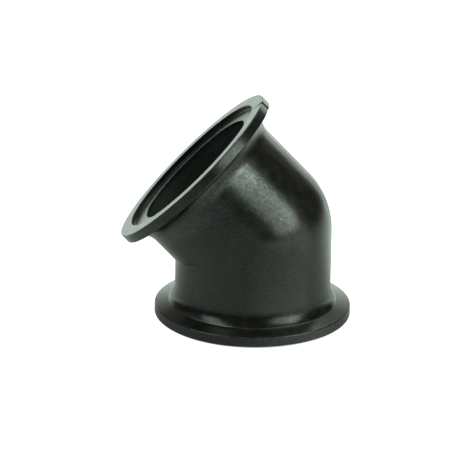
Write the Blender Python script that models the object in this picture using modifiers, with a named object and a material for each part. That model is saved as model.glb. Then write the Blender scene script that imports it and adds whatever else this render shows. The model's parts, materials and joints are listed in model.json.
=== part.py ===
"""A 45 degree flanged pipe elbow: one moulded body, and the gasket seated in its lower flange.

Lengths are in metres and +Z is up. The lower leg stands upright, and the upper leg leans 45 degrees from
it, towards -X. The XZ plane cuts the object into two like halves. The origin is on the floor, under the
middle of the object's bounding box.
"""

import math

import bpy

MM = 0.001

# Driving dimensions of the elbow. Both legs are the same, measured along each from its flange's face.
BEND_ANGLE = math.radians(45)
CENTRE_TO_FACE = 34.7 * MM
BODY_RADIUS = 30.3 * MM
BORE_RADIUS = 26.1 * MM
FLANGE_RADIUS = 38.2 * MM
RIM_THICKNESS = 4.0 * MM
WEDGE_BASE_RADIUS = 32.7 * MM  # where the clamp's sloping face on the flange's back meets the fillet
WEDGE_BASE_HEIGHT = 5.4 * MM
FILLET_TOP = 11.4 * MM
EDGE_ROUND = 0.4 * MM

# The counterbore in each flange's face, which holds a flat gasket.
SEAT_RADIUS = 32.3 * MM
SEAT_DEPTH = 2.0 * MM
SEAT_CORNER = 0.25 * MM
SEAT_EDGE_ROUND = 0.3 * MM

# The gasket stands proud of the flange's face, so that the clamp squeezes it, and clears the seat.
GASKET_PROUD = 0.5 * MM
GASKET_GAP = 0.3 * MM
GASKET_BORE_GAP = 0.6 * MM
GASKET_ROUND = 0.4 * MM

# How finely the turned shapes are divided.
TURN_STEPS = 64
BEND_STEPS = 4
FILLET_STEPS = 6
ROUND_STEPS = 2
MERGE = 0.00001

# The half of the bend that one leg's turned shape covers, and a little more for the mitre to trim.
BEND_COVER = math.radians(30)


def lowest_x():
    """How far the upper flange's rim reaches towards -X from the lower leg's axis."""
    lean_along = math.sin(BEND_ANGLE)
    lean_across = math.cos(BEND_ANGLE)
    along = (CENTRE_TO_FACE - EDGE_ROUND) * lean_along
    across = (FLANGE_RADIUS - EDGE_ROUND) * lean_across
    return -(along + across + EDGE_ROUND)


# Places that follow from the dimensions above.
LEG_X = -(lowest_x() + FLANGE_RADIUS) / 2
FACE_HEIGHT = GASKET_PROUD
BEND_CENTRE = (LEG_X, 0.0, FACE_HEIGHT + CENTRE_TO_FACE)


def clear_scene():
    for item in list(bpy.data.objects):
        bpy.data.objects.remove(item, do_unlink=True)


def new_collection(name):
    collection = bpy.data.collections.new(name)
    bpy.context.scene.collection.children.link(collection)
    return collection


def matt_material(name, colour, roughness):
    material = bpy.data.materials.new(name)
    material.use_nodes = True
    shader = material.node_tree.nodes["Principled BSDF"]
    shader.inputs["Base Color"].default_value = (*colour, 1.0)
    shader.inputs["Roughness"].default_value = roughness
    shader.inputs["Metallic"].default_value = 0.0
    return material


def arc(centre, radius, start, end, steps):
    """Points (r, z) on an arc about centre, from the start angle to the end angle, both in degrees."""
    points = []
    for i in range(steps + 1):
        angle = math.radians(start + (end - start) * i / steps)
        points.append((centre[0] + radius * math.cos(angle), centre[1] + radius * math.sin(angle)))
    return points


def flange_back():
    """From the body's wall down the fillet, over the clamp's sloping face, to the rim's back edge."""
    rise = FILLET_TOP - WEDGE_BASE_HEIGHT
    spread = WEDGE_BASE_RADIUS - BODY_RADIUS
    fillet = (rise**2 + spread**2) / (2 * spread)
    centre = (BODY_RADIUS + fillet, FILLET_TOP)
    end = 180 + math.degrees(math.asin(rise / fillet))
    slope = math.degrees(
        math.atan2(WEDGE_BASE_HEIGHT - RIM_THICKNESS, FLANGE_RADIUS - WEDGE_BASE_RADIUS)
    )
    rim = (FLANGE_RADIUS - EDGE_ROUND, RIM_THICKNESS - EDGE_ROUND)
    points = arc(centre, fillet, 180, end, FILLET_STEPS)
    points += arc(rim, EDGE_ROUND, 90 - slope, 0, ROUND_STEPS)
    return points


def flange_face():
    """From the rim's front edge over the flat ring and into the gasket's seat, as far as the bore."""
    points = arc((FLANGE_RADIUS - EDGE_ROUND, EDGE_ROUND), EDGE_ROUND, 0, -90, ROUND_STEPS)
    points += arc((SEAT_RADIUS + SEAT_EDGE_ROUND, SEAT_EDGE_ROUND), SEAT_EDGE_ROUND, 270, 180, ROUND_STEPS)
    points += arc((SEAT_RADIUS - SEAT_CORNER, SEAT_DEPTH - SEAT_CORNER), SEAT_CORNER, 0, 90, ROUND_STEPS)
    points += arc((BORE_RADIUS + SEAT_EDGE_ROUND, SEAT_DEPTH + SEAT_EDGE_ROUND), SEAT_EDGE_ROUND, 270, 180, 1)
    return points


def leg_profile():
    """One leg's outline, down its outside, over the flange's face, and up its bore. The bend is a ball."""
    centre = (0.0, CENTRE_TO_FACE)
    cover = math.degrees(BEND_COVER)
    points = arc(centre, BODY_RADIUS, cover, 0, BEND_STEPS)
    points += flange_back()
    points += flange_face()
    points += arc(centre, BORE_RADIUS, 0, cover, BEND_STEPS)
    return points


def gasket_profile():
    """The gasket's section as a closed loop, from the top of its outer side."""
    outer = SEAT_RADIUS - GASKET_GAP - GASKET_ROUND
    inner = BORE_RADIUS + GASKET_BORE_GAP + GASKET_ROUND
    top = FACE_HEIGHT + SEAT_DEPTH - GASKET_GAP - GASKET_ROUND
    bottom = GASKET_ROUND
    points = arc((outer, top), GASKET_ROUND, 90, 0, ROUND_STEPS)
    points += arc((outer, bottom), GASKET_ROUND, 0, -90, ROUND_STEPS)
    points += arc((inner, bottom), GASKET_ROUND, -90, -180, ROUND_STEPS)
    points += arc((inner, top), GASKET_ROUND, 180, 90, ROUND_STEPS)
    return points


def turned(name, profile, closed, collection):
    """An object whose profile is turned a full circle about its own Z axis by a Screw modifier."""
    mesh = bpy.data.meshes.new(name)
    edges = [(i, i + 1) for i in range(len(profile) - 1)]
    if closed:
        edges.append((len(profile) - 1, 0))
    mesh.from_pydata([(r, 0.0, z) for r, z in profile], edges, [])
    item = bpy.data.objects.new(name, mesh)
    collection.objects.link(item)
    screw = item.modifiers.new("turn", "SCREW")
    screw.axis = "Z"
    screw.angle = math.tau
    screw.steps = TURN_STEPS
    screw.render_steps = TURN_STEPS
    screw.use_merge_vertices = True
    screw.merge_threshold = MERGE
    screw.use_smooth_shade = True
    return item


def mitre_plane(collection):
    """An empty on the plane halfway round the bend, with its Z axis pointing to the upper leg."""
    plane = bpy.data.objects.new("mitre_plane", None)
    plane.location = BEND_CENTRE
    plane.rotation_euler = (0.0, -BEND_ANGLE / 2, 0.0)
    plane.hide_render = True
    collection.objects.link(plane)
    return plane


def make_body(collection, guides):
    """The one-piece moulding: the lower leg, cut at the mitre plane and mirrored to make the upper leg."""
    body = turned("elbow_body", leg_profile(), False, collection)
    body.location = (LEG_X, 0.0, FACE_HEIGHT)
    mirror = body.modifiers.new("second_leg", "MIRROR")
    mirror.mirror_object = mitre_plane(guides)
    mirror.use_axis = (False, False, True)
    mirror.use_bisect_axis = (False, False, True)
    mirror.use_bisect_flip_axis = (False, False, True)
    mirror.bisect_threshold = MERGE
    mirror.use_mirror_merge = True
    mirror.merge_threshold = MERGE
    body.data.materials.append(matt_material("black_polypropylene", (0.012, 0.013, 0.012), 0.42))
    return body


def make_gasket(collection):
    gasket = turned("lower_gasket", gasket_profile(), True, collection)
    gasket.location = (LEG_X, 0.0, 0.0)
    gasket.data.materials.append(matt_material("black_rubber", (0.02, 0.02, 0.02), 0.7))
    return gasket


def main():
    clear_scene()
    parts = new_collection("pipe_elbow")
    guides = new_collection("guides")
    make_body(parts, guides)
    make_gasket(parts)


main()
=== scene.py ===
"""Looks of the 45 degree pipe elbow: its fine surface, its plastic and rubber, the stage and the lights.

Lengths are in metres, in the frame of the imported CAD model. The elbow is one moulding, so it is one mesh.
"""

import json
import math

import bpy
import numpy as np
from mathutils import Matrix, Vector


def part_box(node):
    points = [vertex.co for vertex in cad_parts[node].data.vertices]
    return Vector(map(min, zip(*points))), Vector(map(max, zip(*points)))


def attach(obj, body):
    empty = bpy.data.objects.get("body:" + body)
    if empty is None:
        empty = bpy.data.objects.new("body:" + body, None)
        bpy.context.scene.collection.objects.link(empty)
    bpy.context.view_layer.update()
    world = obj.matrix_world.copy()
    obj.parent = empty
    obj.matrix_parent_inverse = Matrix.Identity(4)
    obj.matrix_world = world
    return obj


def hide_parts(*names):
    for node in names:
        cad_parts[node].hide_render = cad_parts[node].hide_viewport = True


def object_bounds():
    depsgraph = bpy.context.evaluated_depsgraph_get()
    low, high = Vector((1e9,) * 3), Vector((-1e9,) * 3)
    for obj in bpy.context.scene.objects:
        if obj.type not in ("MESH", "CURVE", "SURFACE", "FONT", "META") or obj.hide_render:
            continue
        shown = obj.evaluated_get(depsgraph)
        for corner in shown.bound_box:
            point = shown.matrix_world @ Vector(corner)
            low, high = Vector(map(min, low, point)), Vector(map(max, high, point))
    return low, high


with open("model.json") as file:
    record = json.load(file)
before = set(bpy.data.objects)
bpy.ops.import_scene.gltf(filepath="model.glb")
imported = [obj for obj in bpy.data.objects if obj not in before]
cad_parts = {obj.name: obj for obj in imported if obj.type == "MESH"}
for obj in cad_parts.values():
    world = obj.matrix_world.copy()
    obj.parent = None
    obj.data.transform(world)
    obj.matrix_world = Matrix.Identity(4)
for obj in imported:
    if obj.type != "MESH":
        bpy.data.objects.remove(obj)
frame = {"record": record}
CAD_LOW, CAD_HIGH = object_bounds()

MM = 0.001

# Places and driving sizes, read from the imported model. Both legs are measured from their flange's face.
BODY_LOW, BODY_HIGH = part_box("elbow_body")
MOUNTS = {mount["name"]: mount for mount in frame["record"]["mounts"]}
UP_AXIS = Vector(MOUNTS["upper_flange_face"]["axis"]).normalized()
BEND_ANGLE = math.acos(UP_AXIS.z)
FLANGE_RADIUS = BODY_HIGH.y
LEG_X = BODY_HIGH.x - FLANGE_RADIUS
FACE_Z = BODY_LOW.z
CENTRE_TO_FACE = (MOUNTS["upper_flange_face"]["pos_m"][2] - FACE_Z) / (1 + math.cos(BEND_ANGLE))
BEND_CENTRE = Vector((LEG_X, 0.0, FACE_Z + CENTRE_TO_FACE))
MITRE_NORMAL = Vector((-math.sin(BEND_ANGLE / 2), 0.0, math.cos(BEND_ANGLE / 2)))

# The leg's section, as in the CAD model but in finer steps. The rim is a little rounder here, and a small
# round is added where the fillet meets the clamp's slope.
BODY_RADIUS = 30.3 * MM
BORE_RADIUS = 26.1 * MM
RIM_THICKNESS = 4.0 * MM
WEDGE_BASE_RADIUS = 32.7 * MM
WEDGE_BASE_HEIGHT = 5.4 * MM
WEDGE_BASE_ROUND = 1.0 * MM
FILLET_TOP = 11.4 * MM
EDGE_ROUND = 0.5 * MM
SEAT_RADIUS = 32.3 * MM
SEAT_DEPTH = 2.0 * MM
SEAT_CORNER = 0.25 * MM
SEAT_EDGE_ROUND = 0.3 * MM

# The two halves of the mould meet at a faint parting line. Beside it, at the top of the upper flange, the
# front half sits lower than the rear one, which leaves a notch.
MOULD_STEP = 0.04 * MM
MOULD_FLASH = 0.04 * MM
STEP_WIDTH = 0.08 * MM
FLASH_WIDTH = 0.35 * MM
NOTCH_DEPTH = 0.36 * MM
NOTCH_SPREAD = math.radians(16)

HALF_COLUMNS = 96
BEND_ROWS = 26
FILLET_ROWS = 22
ROUND_ROWS = 5
EDGE_ROWS = ROUND_ROWS + 1
RIM_ROW = BEND_ROWS + FILLET_ROWS + ROUND_ROWS + 1  # the first row of the rim's first rounded edge
SEAT_CORNER_ROW = RIM_ROW + 3 * EDGE_ROWS
SHARP_ANGLE = math.radians(14)

# The gasket fills its node's box, with rounded corners.
GASKET_LOW, GASKET_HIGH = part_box("lower_gasket")
GASKET_BORE = 26.7 * MM
GASKET_ROUND = 0.4 * MM
GASKET_COLUMNS = 160

# How much glossier the plastic is in some rows than elsewhere, as a share of its gloss.
UPPER_SHINE = 0.42
LOWER_FILLET_SHINE = -0.22
SEAT_WALL_SHINE = -0.40

# The patterns in the plastic, as lumps per metre.
FLOW_MARKS = 38.0
DUST_CELLS = 210.0
MOTTLE = 260.0
RUBBING = 420.0
SPECKLE = 1000.0
GRAIN = 1150.0

# The plastic's two tones, the lighter colour painted into the bore as painted light, the rubbed edges and the
# dust.
PLASTIC_DARK = (0.0075, 0.0074, 0.0064, 1.0)
PLASTIC_LIGHT = (0.0115, 0.0113, 0.0100, 1.0)
BORE_PAINTED_LIGHT = (0.024, 0.025, 0.023, 1.0)
RUBBED_COLOUR = (0.055, 0.056, 0.052, 1.0)
DUST_COLOUR = (0.30, 0.29, 0.26, 1.0)

# The rubber's two tones, and the patterns in it.
RUBBER_DARK = (0.018, 0.018, 0.018, 1.0)
RUBBER_LIGHT = (0.034, 0.034, 0.033, 1.0)
RUBBER_SKIN = 2600.0
RUBBER_BLOOM = 240.0

# The camera, by its angles round the object.
CAMERA_AZIMUTH = math.radians(5.04)
CAMERA_ELEVATION = math.radians(20.1)
CAMERA_ROLL = math.radians(0.8)
CAMERA_DISTANCE = 1313.7 * MM
CAMERA_LENS = 268.5
CAMERA_SENSOR = 36.0
AIM_LEFT = 10.63 * MM  # the point aimed at, from the middle of the lower flange's face
AIM_UP = 33.52 * MM

# The soft lights: name, bearing and elevation in degrees as seen from the object, lean in degrees, distance,
# width and height in metres, and radiance. A bearing is measured from +Y, behind the object, round to +X, its
# right, and a lean to the right is positive.
SOFTBOXES = (
    ("key_softbox", 112, 24, 2, 0.8, 0.21, 0.41, 3.7),
    ("side_softbox", 127, 23, 0, 0.8, 0.46, 0.42, 3.5),
    ("low_softbox", 112, 5, 0, 0.8, 0.62, 0.18, 0.9),
    ("high_softbox", 90, 64, 0, 2.2, 1.50, 1.30, 1.1),
    ("rear_softbox", 25, 48, 0, 2.2, 1.70, 2.10, 0.28),
    ("top_softbox", -35, 73, 0, 2.0, 3.30, 1.55, 1.65),
    ("left_softbox", -122, 43, 0, 2.0, 0.80, 1.60, 3.3),
    ("left_fill", -72, 42, 0, 2.2, 1.80, 1.60, 0.28),
)
LIGHT_TINT = (0.85, 1.0, 0.90)

# The studio's radiance low down behind the object, and everywhere else.
BACKDROP = 1.8
ROOM = 0.04
ROOM_TINT = (1.0, 0.97, 0.84)

# The paper's own grey, and the share of it that is left far in front as painted shade. Then the glow painted
# into the paper in place of the studio's lights: behind the object, to its sides, in a pool on its right, and
# close in front of its foot.
FLOOR_HALF = 4.0
FLOOR_GREY = 0.43
FLOOR_FRONT_SHADE = 0.4
FLOOR_BEHIND = 0.75
FLOOR_SIDES = 0.13
FLOOR_POOL = 0.55
FLOOR_NEAR = 0.65

# How far the right edges of the backdrop and of the floor's painted glow move right on the way back, as a
# share of it.
BACKDROP_LEAN = 0.45

WHITE = (1.0, 1.0, 1.0, 1.0)


def arc(centre, radius, start, end, steps):
    """Points (r, z) on an arc about centre, from the start angle to the end angle, both in degrees."""
    angles = np.radians(np.linspace(start, end, steps + 1))
    return [(centre[0] + radius * math.cos(a), centre[1] + radius * math.sin(a)) for a in angles]


def outer_outline():
    """Points down one leg's outside from the fillet's top to the seat's edge on the flange's face."""
    rise = FILLET_TOP - WEDGE_BASE_HEIGHT
    spread = WEDGE_BASE_RADIUS - BODY_RADIUS
    fillet = (rise**2 + spread**2) / (2 * spread)
    slope = math.atan2(WEDGE_BASE_HEIGHT - RIM_THICKNESS, FLANGE_RADIUS - WEDGE_BASE_RADIUS)
    steep = math.asin(rise / fillet)
    steep -= WEDGE_BASE_ROUND * math.tan((math.pi / 2 - slope - steep) / 2) / fillet
    fillet_end = 180 + math.degrees(steep)
    slope_start = 90 - math.degrees(slope)
    points = arc((BODY_RADIUS + fillet, FILLET_TOP), fillet, 180, fillet_end, FILLET_ROWS)
    base_r = points[-1][0] + WEDGE_BASE_ROUND * math.cos(steep)
    base_z = points[-1][1] + WEDGE_BASE_ROUND * math.sin(steep)
    points += arc((base_r, base_z), WEDGE_BASE_ROUND, fillet_end, 180 + slope_start, ROUND_ROWS)[1:]
    rim = FLANGE_RADIUS - EDGE_ROUND
    points += arc((rim, RIM_THICKNESS - EDGE_ROUND), EDGE_ROUND, slope_start, 0, ROUND_ROWS)
    points += arc((rim, EDGE_ROUND), EDGE_ROUND, 0, -90, ROUND_ROWS)
    return points


def seat_outline():
    """Points over the seat's edge, down its wall and across its floor to the bore's edge."""
    edge = (SEAT_RADIUS + SEAT_EDGE_ROUND, SEAT_EDGE_ROUND)
    corner = (SEAT_RADIUS - SEAT_CORNER, SEAT_DEPTH - SEAT_CORNER)
    bore = (BORE_RADIUS + SEAT_EDGE_ROUND, SEAT_DEPTH + SEAT_EDGE_ROUND)
    points = arc(edge, SEAT_EDGE_ROUND, 270, 180, ROUND_ROWS)
    points += arc(corner, SEAT_CORNER, 0, 90, ROUND_ROWS)
    points += arc(bore, SEAT_EDGE_ROUND, 270, 180, ROUND_ROWS)
    return points


def column_angles():
    """Angles round the leg, closer beside the parting line: the front half from -X to +X, then the rear."""
    step = STEP_WIDTH / (2 * FLANGE_RADIUS)
    flash = step + FLASH_WIDTH / FLANGE_RADIUS
    inner = np.linspace(2 * flash, math.pi - 2 * flash, HALF_COLUMNS - 3)
    half = np.concatenate([[step, flash], inner, [math.pi - flash, math.pi - step]])
    return np.concatenate([half - math.pi, half])


def mitre_run(radius, angle, level, rows):
    """Points (r, z) from the mitre plane down one column to a level, evenly spaced over ball and pipe."""
    tilt = math.tan(BEND_ANGLE / 2)
    out = math.cos(angle)
    ball = 0.0
    top = CENTRE_TO_FACE + radius * min(out, 0.0) * tilt
    if out > 0:
        ball = radius * math.atan(tilt * out)
    length = ball + top - level
    points = []
    for i in range(rows + 1):
        along = length * i / rows
        lift = max(ball - along, 0.0) / radius
        fall = max(along - ball, 0.0)
        points.append((radius * math.cos(lift), top + radius * math.sin(lift) - fall))
    return points


def leg_section():
    """One leg's outline (r, z) for each column, and for each row how far it belongs to the mould's halves."""
    outer = outer_outline()
    seat = seat_outline()
    columns = []
    for angle in column_angles():
        outside = mitre_run(BODY_RADIUS, angle, FILLET_TOP, BEND_ROWS)
        bore = mitre_run(BORE_RADIUS, angle, SEAT_DEPTH + SEAT_EDGE_ROUND, BEND_ROWS)
        columns.append(outside[:-1] + outer + seat + bore[-2::-1])
    section = np.array(columns).transpose(1, 0, 2)
    halves = np.zeros(len(section))
    moulded = BEND_ROWS + len(outer)
    halves[:moulded] = 1.0
    halves[moulded : moulded + ROUND_ROWS + 1] = np.linspace(1.0, 0.0, ROUND_ROWS + 1)
    return section, halves


def dull_rows(count):
    """How dull each row is: only the bore past the seat's floor, rougher and lit by a painted lighter colour.
    """
    bore = count - BEND_ROWS
    return np.clip((np.arange(count) - bore + 1) / 2, 0, 1)


def shine_rows(count):
    """How each row shines, on the lower leg and on the upper one. The lower leg's fillet and both seats'
    walls are duller than plain, and the upper leg has a bright band where its fillet starts."""
    rows = np.arange(count)
    fillet = np.clip((rows - BEND_ROWS) / 4, 0, 1) * (rows < BEND_ROWS + FILLET_ROWS)
    band = np.clip((rows - BEND_ROWS + 8) / 5, 0, 1) * (rows < BEND_ROWS + FILLET_ROWS // 2)
    wall = (rows >= SEAT_CORNER_ROW - 1) * (rows <= SEAT_CORNER_ROW + ROUND_ROWS // 2) * SEAT_WALL_SHINE
    return LOWER_FILLET_SHINE * fillet + wall, UPPER_SHINE * band + wall


def worn_rows(count):
    """How worn each row is: the rounded edges of the rim and the seat rub lighter, and the rest stays new."""
    edge = np.sin(np.linspace(0, math.pi, EDGE_ROWS))
    worn = np.zeros(count)
    worn[RIM_ROW:SEAT_CORNER_ROW] = np.tile(edge, 3)
    return worn


def leg_points():
    """The lower leg as rows of points in the row frame, with the flash raised along the parting line."""
    section, halves = leg_section()
    turn = column_angles()[None, :]
    run = np.gradient(section, axis=0)
    run /= np.linalg.norm(run, axis=2, keepdims=True)
    outward = np.stack([-run[:, :, 1], run[:, :, 0]], axis=2)
    edge = np.zeros(turn.shape)
    edge[0, [0, HALF_COLUMNS, HALF_COLUMNS + 1, -1]] = MOULD_FLASH
    rim = np.clip((section[:, :, 0] - BODY_RADIUS) / (WEDGE_BASE_RADIUS - BODY_RADIUS), 0, 1)
    body = halves[:, None] * (1 - rim)
    section = section + outward * (body * edge)[:, :, None]
    x = LEG_X + section[:, :, 0] * np.cos(turn)
    y = section[:, :, 0] * np.sin(turn)
    z = FACE_Z + section[:, :, 1]
    return np.stack([x, y, z], axis=2), body


def cut_notch(points):
    """Lowers the front half of the lower leg's rim, right beside the parting line, before it is mirrored."""
    out = np.hypot(points[:, :, 0] - LEG_X, points[:, :, 1])
    near = np.clip(1 + column_angles() / NOTCH_SPREAD, 0, 1) * (column_angles() < 0)
    near = near**2 * (3 - 2 * near)
    rim = np.clip((out - WEDGE_BASE_RADIUS) / (FLANGE_RADIUS - WEDGE_BASE_RADIUS - EDGE_ROUND), 0, 1)
    depth = NOTCH_DEPTH * near * rim
    face = depth * np.clip(1 - (points[:, :, 2] - FACE_Z) / EDGE_ROUND, 0, 1)
    sunk = points.copy()
    sunk[:, :, 0] -= depth
    sunk[:, :, 2] += 0.6 * face
    return sunk


def mirrored(points):
    """The same points on the other side of the mitre plane."""
    normal = np.array(MITRE_NORMAL)
    height = (points - np.array(BEND_CENTRE)) @ normal
    return points - 2 * height[..., None] * normal


def grid_faces(index, flip):
    """Quads over a grid of vertex numbers whose columns close into a loop."""
    after = np.roll(index, -1, axis=1)
    quads = np.stack([index[:-1], index[1:], after[1:], after[:-1]], axis=2).reshape(-1, 4)
    return quads[:, ::-1] if flip else quads


def make_mesh(name, points, faces, sharp_angle):
    mesh = bpy.data.meshes.new(name)
    mesh.from_pydata([tuple(p) for p in points], [], [tuple(int(i) for i in f) for f in faces])
    mesh.validate()
    mesh.shade_smooth()
    mesh.set_sharp_from_angle(angle=sharp_angle)
    piece = bpy.data.objects.new(name, mesh)
    bpy.context.scene.collection.objects.link(piece)
    weighted = piece.modifiers.new("weighted_normals", "WEIGHTED_NORMAL")
    weighted.keep_sharp = True
    return piece


def make_elbow():
    """Both legs as one closed mesh, welded along the mitre, with the front half of the mould shifted."""
    lower, body = leg_points()
    upper = mirrored(cut_notch(lower))
    shift = np.where(lower[:, :, 1] < 0, -MOULD_STEP / 2, MOULD_STEP / 2) * body
    lower[:, :, 0] += shift
    upper[:, :, 0] += shift
    rows, columns = shift.shape
    low_index = np.arange(rows * columns).reshape(rows, columns)
    high_index = low_index.copy()
    high_index[1:-1] = np.arange((rows - 2) * columns).reshape(rows - 2, columns) + rows * columns
    points = np.concatenate([lower.reshape(-1, 3), upper[1:-1].reshape(-1, 3)])
    faces = np.concatenate([grid_faces(low_index, False), grid_faces(high_index, True)])
    elbow = make_mesh("moulded_elbow", points, faces, SHARP_ANGLE)
    worn = worn_rows(rows)
    bore_dull_and_lit = dull_rows(rows)
    for name, low, high in (("wear", worn, worn), ("bore_dull_and_lit", bore_dull_and_lit, bore_dull_and_lit), ("shine", *shine_rows(rows))):
        attribute = elbow.data.attributes.new(name, "FLOAT", "POINT")
        values = np.concatenate([low, high[1:-1]])
        attribute.data.foreach_set("value", np.repeat(values, columns))
    elbow.data.materials.append(black_plastic())
    return elbow


def make_gasket():
    """The flat rubber ring in the lower flange's seat."""
    middle = (GASKET_LOW + GASKET_HIGH) / 2
    outer = (GASKET_HIGH.y - GASKET_LOW.y) / 2 - GASKET_ROUND
    inner = GASKET_BORE + GASKET_ROUND
    top = GASKET_HIGH.z - GASKET_ROUND
    bottom = GASKET_LOW.z + GASKET_ROUND
    loop = arc((outer, top), GASKET_ROUND, 90, 0, ROUND_ROWS)
    loop += arc((outer, bottom), GASKET_ROUND, 0, -90, ROUND_ROWS)
    loop += arc((inner, bottom), GASKET_ROUND, -90, -180, ROUND_ROWS)
    loop += arc((inner, top), GASKET_ROUND, 180, 90, ROUND_ROWS)
    section = np.array(loop + loop[:1])[:, None, :]
    turn = np.linspace(0, math.tau, GASKET_COLUMNS, endpoint=False)[None, :]
    rings = [section[:, :, 0] * np.cos(turn), section[:, :, 0] * np.sin(turn), section[:, :, 1] + 0 * turn]
    points = np.stack(rings, axis=2)[:-1] + np.array((middle.x, middle.y, 0.0))
    index = np.arange(len(loop) * GASKET_COLUMNS).reshape(len(loop), GASKET_COLUMNS)
    faces = grid_faces(np.concatenate([index, index[:1]]), False)
    gasket = make_mesh("gasket_ring", points.reshape(-1, 3), faces, SHARP_ANGLE)
    gasket.data.materials.append(black_rubber())
    return gasket


class Nodes:
    """Adds nodes to one tree in short calls: each input is a value to set or a socket to join."""

    def __init__(self, tree):
        self.tree = tree

    def add(self, kind, inputs=(), **settings):
        node = self.tree.nodes.new(kind)
        for name, value in settings.items():
            setattr(node, name, value)
        for name, value in dict(inputs).items():
            if isinstance(value, bpy.types.NodeSocket):
                self.tree.links.new(value, node.inputs[name])
            else:
                node.inputs[name].default_value = value
        return node

    def place(self, scale=(1.0, 1.0, 1.0), offset=(0.0, 0.0, 0.0)):
        """The piece's own coordinates in metres, stretched and moved."""
        coordinates = self.add("ShaderNodeTexCoord").outputs["Object"]
        settings = {"Vector": coordinates, "Scale": scale, "Location": offset}
        return self.add("ShaderNodeMapping", settings).outputs["Vector"]

    def noise(self, vector, scale, detail=2.0, roughness=0.5):
        """Even noise from 0 to 1, with lumps about 1 / scale metres across."""
        settings = {"Vector": vector, "Scale": scale, "Detail": detail, "Roughness": roughness}
        return self.add("ShaderNodeTexNoise", settings).outputs["Fac"]

    def spread(self, value, low, high, to_low=0.0, to_high=1.0, smooth=True):
        """A value from low to high, moved to the range from to_low to to_high and held there."""
        kind = "SMOOTHSTEP" if smooth else "LINEAR"
        settings = {"Value": value, "From Min": low, "From Max": high, "To Min": to_low, "To Max": to_high}
        return self.add("ShaderNodeMapRange", settings, interpolation_type=kind).outputs["Result"]

    def parts(self, vector):
        """The X, Y and Z of a vector, by name."""
        return self.add("ShaderNodeSeparateXYZ", {"Vector": vector}).outputs

    def attribute(self, name):
        return self.add("ShaderNodeAttribute", attribute_name=name).outputs["Fac"]

    def for_camera(self):
        """1 where a camera looks straight at it, and 0 where it lights or shows in something else."""
        return self.add("ShaderNodeLightPath").outputs["Is Camera Ray"]

    def math(self, operation, first, second=0.0, third=0.0):
        node = self.add("ShaderNodeMath", {0: first, 1: second, 2: third}, operation=operation)
        return node.outputs["Value"]

    def mix(self, share, first, second):
        """Two colours, by a share from 0 to 1."""
        settings = {"Factor": share, 6: first, 7: second}
        return self.add("ShaderNodeMix", settings, data_type="RGBA").outputs[2]

    def bump(self, height, distance, strength=1.0, normal=None):
        settings = {"Height": height, "Distance": distance, "Strength": strength}
        if normal is not None:
            settings["Normal"] = normal
        return self.add("ShaderNodeBump", settings).outputs["Normal"]


def new_material(name):
    """A material with only its Principled shader and output, and the Nodes to add to it."""
    material = bpy.data.materials.new(name)
    material.use_nodes = True
    return material, material.node_tree.nodes["Principled BSDF"], Nodes(material.node_tree)


def join(material, shader, inputs):
    for name, socket in inputs.items():
        material.node_tree.links.new(socket, shader.inputs[name])


def dust_specks(nodes):
    """A few small pale specks of dust: the middles of some Voronoi cells."""
    place = nodes.place(offset=(0.3, 0.1, 0.7))
    cells = nodes.add("ShaderNodeTexVoronoi", {"Vector": place, "Scale": DUST_CELLS})
    parts = nodes.add("ShaderNodeSeparateColor", {"Color": cells.outputs["Color"]}).outputs
    size = nodes.spread(parts["Red"], 0.86, 1.0, 0.0, 0.075)
    return nodes.math("LESS_THAN", cells.outputs["Distance"], size)


def plastic_gloss(nodes, place, upper):
    """Specular level: speckled, most of all on the upper leg, and changed by the rows' shine."""
    speckle = nodes.spread(nodes.noise(place, SPECKLE, 2.0, 0.6), 0.30, 0.70, -0.14, 0.14)
    gloss = nodes.math("MULTIPLY_ADD", speckle, nodes.spread(upper, 0.0, 1.0, 0.6, 1.0), 0.5)
    return nodes.math("MULTIPLY_ADD", gloss, nodes.attribute("shine"), gloss)


def black_plastic():
    """Moulded black plastic: a leathery grain over faint flow marks, with rubbed edges, a little dust and a
    bore lit by a painted lighter colour. The grain and its speckle are stronger on the upper leg."""
    material, shader, nodes = new_material("moulded_black_plastic")
    place = nodes.place()
    upper = nodes.spread(nodes.parts(place)["Z"], 0.035, 0.055)
    mottle = nodes.noise(place, MOTTLE, 3.0)
    rubbed = nodes.spread(nodes.noise(place, RUBBING, 4.0), 0.40, 0.62)
    rubbed = nodes.math("MULTIPLY", nodes.attribute("wear"), rubbed)
    bore_dull_and_lit = nodes.attribute("bore_dull_and_lit")
    colour = nodes.mix(nodes.spread(mottle, 0.35, 0.65), PLASTIC_DARK, PLASTIC_LIGHT)
    # Painted light: the bore's colour is made lighter, to brighten it.
    colour = nodes.mix(bore_dull_and_lit, colour, BORE_PAINTED_LIGHT)
    colour = nodes.mix(nodes.math("MULTIPLY", rubbed, 0.25), colour, RUBBED_COLOUR)
    colour = nodes.mix(nodes.math("MULTIPLY", dust_specks(nodes), 0.6), colour, DUST_COLOUR)
    roughness = nodes.spread(mottle, 0.3, 0.7, 0.20, 0.25)
    roughness = nodes.math("MULTIPLY_ADD", rubbed, 0.06, roughness)
    roughness = nodes.math("MULTIPLY_ADD", bore_dull_and_lit, 0.20, roughness)
    normal = nodes.bump(nodes.noise(nodes.place((1.0, 1.0, 0.35)), FLOW_MARKS, 2.0), 0.12 * MM, 0.5)
    normal = nodes.bump(mottle, 0.03 * MM, 0.6, normal)
    grain_strength = nodes.spread(upper, 0.0, 1.0, 0.7, 1.0)
    normal = nodes.bump(nodes.noise(place, GRAIN, 3.0, 0.6), 0.06 * MM, grain_strength, normal)
    join(material, shader, {"Base Color": colour, "Roughness": roughness, "Normal": normal})
    join(material, shader, {"Specular IOR Level": plastic_gloss(nodes, place, upper)})
    shader.inputs["IOR"].default_value = 1.5
    return material


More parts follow.
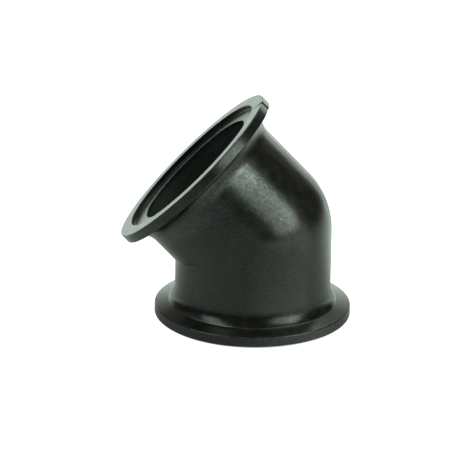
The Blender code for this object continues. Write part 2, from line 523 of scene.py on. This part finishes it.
def black_rubber():
    """Moulded rubber: matt, with a fine pebbled skin and a dusty bloom in patches."""
    material, shader, nodes = new_material("gasket_black_rubber")
    place = nodes.place()
    bloom = nodes.noise(place, RUBBER_BLOOM, 4.0)
    colour = nodes.mix(nodes.spread(bloom, 0.40, 0.70), RUBBER_DARK, RUBBER_LIGHT)
    roughness = nodes.spread(bloom, 0.3, 0.7, 0.58, 0.72)
    normal = nodes.bump(nodes.noise(place, RUBBER_SKIN, 2.0), 0.02 * MM, 0.7)
    join(material, shader, {"Base Color": colour, "Roughness": roughness, "Normal": normal})
    shader.inputs["IOR"].default_value = 1.5
    return material


def painted_floor_glow(nodes, along, out):
    """The paper's painted glow, in place of studio light, by the place on it and the distance to the leg's
    axis.
    """
    lean = nodes.math("MULTIPLY", along["Y"], BACKDROP_LEAN)
    strip = nodes.spread(nodes.math("SUBTRACT", along["X"], lean), 0.08, 0.22, 1.0, 0.0)
    behind = nodes.math("MULTIPLY", nodes.spread(along["Y"], 0.0, 0.10, 0.0, FLOOR_BEHIND), strip)
    sides = nodes.spread(nodes.math("ABSOLUTE", along["X"]), 0.0, 0.07, 0.0, FLOOR_SIDES)
    in_front = nodes.spread(along["Y"], -0.03, 0.03, 1.0, 0.0)
    pool = nodes.math("MULTIPLY", nodes.spread(along["X"], 0.03, 0.18), in_front)
    close = nodes.spread(out, 0.04, 0.12, 1.0, 0.0)
    foot = nodes.math("MULTIPLY", close, nodes.spread(along["X"], -0.01, 0.03, 0.2, 1.0))
    near = nodes.math("MULTIPLY", foot, nodes.spread(along["Y"], -0.03, -0.01, FLOOR_NEAR, 0.0))
    # The parts of the paper's painted glow, added up.
    lit = nodes.math("MULTIPLY_ADD", pool, FLOOR_POOL, nodes.math("ADD", behind, sides))
    return nodes.math("ADD", lit, near)


def pale_floor():
    """Matt paper, painted to glow behind and beside. A camera sees it white, except close under the flange.
    """
    material, shader, nodes = new_material("white_paper")
    place = nodes.place(offset=(-LEG_X, 0.0, 0.0))
    along = nodes.parts(place)
    out = nodes.add("ShaderNodeVectorMath", {0: place}, operation="LENGTH").outputs["Value"]
    cloudy = nodes.noise(nodes.place(), 6.0, 3.0)
    tone = nodes.spread(cloudy, 0.0, 1.0, FLOOR_GREY - 0.01, FLOOR_GREY + 0.01)
    # Painted shade: the paper's grey is made darker far in front of the object.
    tone = nodes.math("MULTIPLY", tone, nodes.spread(along["Y"], -0.50, -0.12, FLOOR_FRONT_SHADE, 1.0))
    colour = nodes.add("ShaderNodeCombineColor", {"Red": tone, "Green": tone, "Blue": tone}).outputs["Color"]
    seen = nodes.for_camera()
    clear = nodes.spread(out, FLANGE_RADIUS - 1.4 * MM, FLANGE_RADIUS - 0.6 * MM)
    # Painted light: the paper glows, so it lights the object and shows in it as a lit floor would.
    glow = nodes.math("MAXIMUM", nodes.math("MULTIPLY", seen, clear), painted_floor_glow(nodes, along, out))
    tint = nodes.mix(seen, (*LIGHT_TINT, 1.0), WHITE)
    join(material, shader, {"Base Color": colour, "Emission Color": tint, "Emission Strength": glow})
    shader.inputs["Roughness"].default_value = 0.9
    shader.inputs["Specular IOR Level"].default_value = 0.2
    return material


def make_floor():
    """A wide flat sheet that the object stands on."""
    edge = FLOOR_HALF
    height = CAD_LOW.z - 0.02 * MM
    corners = [(-edge, -edge, height), (edge, -edge, height), (edge, edge, height), (-edge, edge, height)]
    mesh = bpy.data.meshes.new("floor")
    mesh.from_pydata(corners, [], [(0, 1, 2, 3)])
    floor = bpy.data.objects.new("floor", mesh)
    bpy.context.scene.collection.objects.link(floor)
    mesh.materials.append(pale_floor())


def make_world():
    """A white studio to the camera. It lights the object mostly from low down behind it."""
    world = bpy.data.worlds.new("studio")
    world.use_nodes = True
    nodes = Nodes(world.node_tree)
    background = world.node_tree.nodes["Background"]
    way = nodes.parts(nodes.add("ShaderNodeTexCoord").outputs["Generated"])
    lean = nodes.math("MULTIPLY", way["Y"], BACKDROP_LEAN)
    right_edge = nodes.spread(nodes.math("SUBTRACT", way["X"], lean), -0.05, 0.20, 1.0, 0.0)
    left_edge = nodes.spread(nodes.math("ADD", way["X"], way["Y"]), -0.2, 0.4)
    low_down = nodes.spread(way["Z"], 0.10, 0.55, 1.0, 0.0)
    behind = nodes.math("MULTIPLY", nodes.math("MULTIPLY", right_edge, left_edge), low_down)
    seen = nodes.for_camera()
    lit = nodes.spread(behind, 0.0, 1.0, ROOM, BACKDROP, smooth=False)
    strength = nodes.math("MAXIMUM", lit, seen)
    colour = nodes.mix(behind, (*ROOM_TINT, 1.0), (*LIGHT_TINT, 1.0))
    colour = nodes.mix(seen, colour, WHITE)
    world.node_tree.links.new(strength, background.inputs["Strength"])
    world.node_tree.links.new(colour, background.inputs["Color"])
    bpy.context.scene.world = world


def make_softbox(name, bearing, elevation, lean, distance, width, height, radiance):
    """A soft rectangular light that faces the object, and that no camera sees."""
    bearing = math.radians(bearing)
    elevation = math.radians(elevation)
    way = Vector((math.sin(bearing), math.cos(bearing), 0.0)) * math.cos(elevation)
    way.z = math.sin(elevation)
    light = bpy.data.lights.new(name, "AREA")
    light.shape = "RECTANGLE"
    light.size = width
    light.size_y = height
    light.energy = radiance * math.pi * width * height
    light.color = LIGHT_TINT
    lamp = bpy.data.objects.new(name, light)
    lamp.location = BEND_CENTRE + way * distance
    turn = way.to_track_quat("Z", "Y").to_matrix() @ Matrix.Rotation(math.radians(lean), 3, "Z")
    lamp.rotation_euler = turn.to_euler()
    lamp.visible_camera = False
    bpy.context.scene.collection.objects.link(lamp)


def make_camera():
    """A long lens at the photograph's angle, with no shift."""
    turn = Matrix.Rotation(CAMERA_AZIMUTH, 4, "Z") @ Matrix.Rotation(math.pi / 2 - CAMERA_ELEVATION, 4, "X")
    turn = turn @ Matrix.Rotation(CAMERA_ROLL, 4, "Z")
    aim = Vector((LEG_X, 0.0, FACE_Z)) + turn @ Vector((-AIM_LEFT, AIM_UP, 0.0))
    camera = bpy.data.objects.new("camera", bpy.data.cameras.new("camera"))
    camera.data.lens = CAMERA_LENS
    camera.data.sensor_width = CAMERA_SENSOR
    camera.data.clip_end = 20.0
    camera.matrix_world = Matrix.Translation(aim + turn @ Vector((0.0, 0.0, CAMERA_DISTANCE))) @ turn
    bpy.context.scene.collection.objects.link(camera)
    bpy.context.scene.camera = camera


def main():
    elbow = make_elbow()
    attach(elbow, "root")
    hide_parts("elbow_body")
    gasket = make_gasket()
    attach(gasket, "root")
    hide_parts("lower_gasket")
    make_floor()
    make_world()
    for softbox in SOFTBOXES:
        make_softbox(*softbox)
    make_camera()
    bpy.context.scene.view_settings.view_transform = "Standard"


main()
